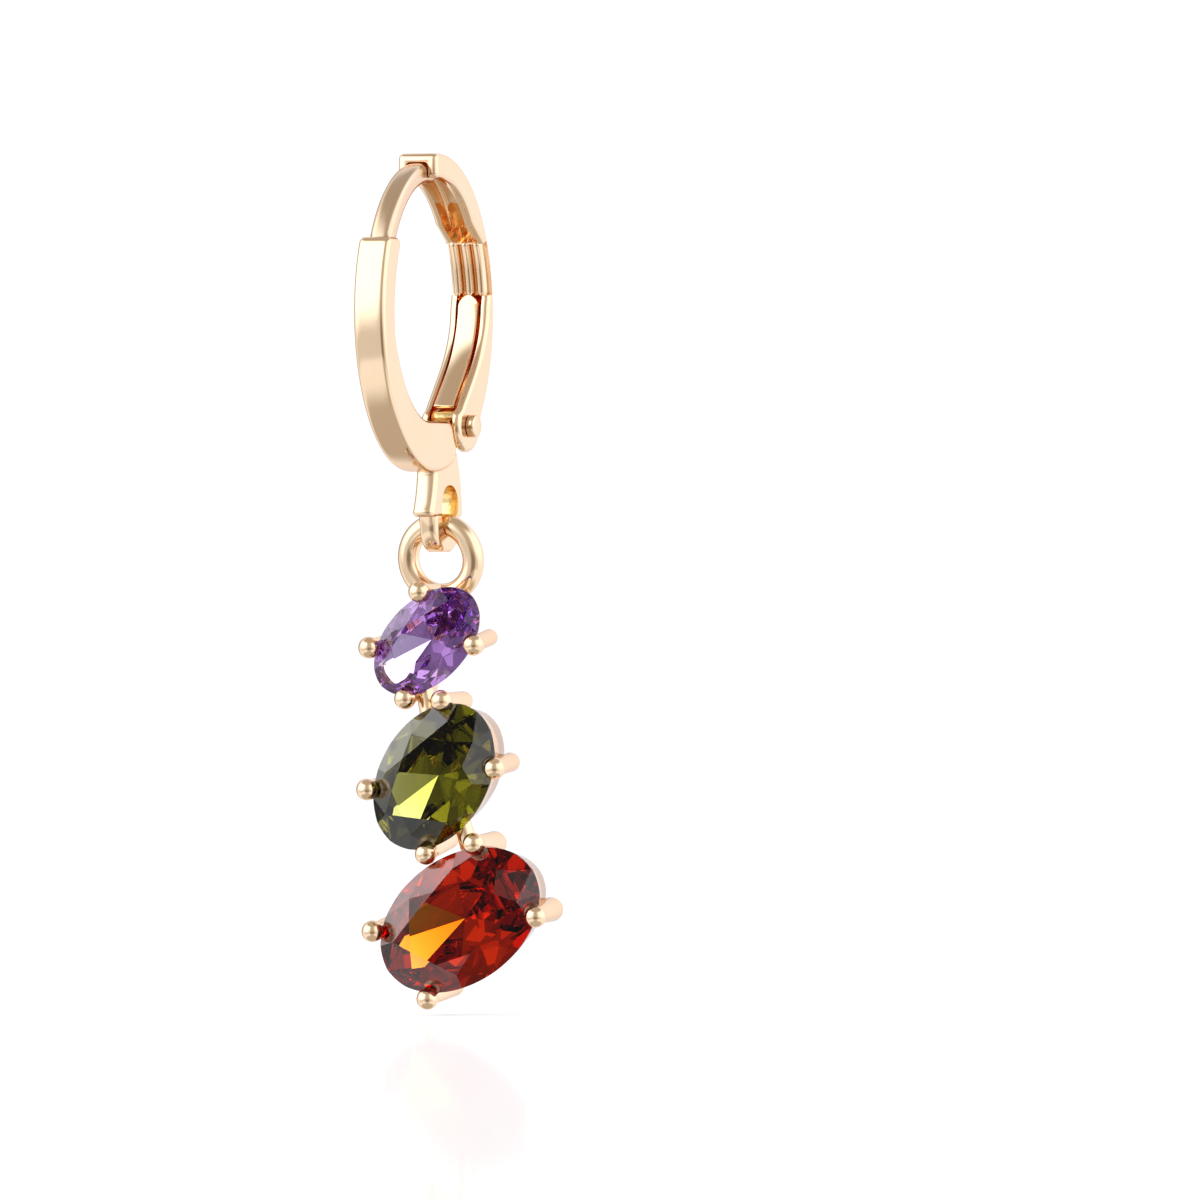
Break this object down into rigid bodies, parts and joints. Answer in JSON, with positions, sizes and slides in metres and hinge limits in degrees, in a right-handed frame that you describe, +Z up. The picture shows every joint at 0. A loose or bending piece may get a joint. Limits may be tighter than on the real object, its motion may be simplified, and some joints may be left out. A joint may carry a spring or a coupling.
{
  "type": "drop earring",
  "caption": "Hinged oval huggie hoop with a lever back and a hanging drop of oval faceted stones in four-prong baskets.",
  "frame": {"origin": "middle of the ear wire's section at the top of the hoop, where the earring hangs in the ear", "axes": "+Z up, -Y the front of the earring, X across the band, along the hinge"},
  "size_m": [0.0073, 0.0094, 0.031],
  "materials": {
    "gold": "highly polished champagne gold plating",
    "purple_stone": "faceted and polished, violet",
    "green_stone": "faceted and polished, olive green",
    "red_stone": "faceted and polished, garnet red"
  },
  "bodies": {
    "hoop": {"hoop_front": "gold", "hinge_rivet": "gold"},
    "lever": {"lever": "gold", "spring_leaf": "gold"},
    "drop": {"drop_frame": "gold", "stone_purple": "purple_stone", "stone_green": "green_stone", "stone_red": "red_stone"}
  },
  "joints": [
    {"name": "lever_hinge", "type": "hinge", "parent": "hoop", "child": "lever", "pos_m": [0, 0.00248, -0.00914], "axis": [-1, 0, 0], "range_deg": [0, 70]},
    {"name": "drop_swing", "type": "hinge", "parent": "hoop", "child": "drop", "pos_m": [0, 0.0015, -0.01269], "axis": [1, 0, 0], "range_deg": [-90, 100]}
  ]
}
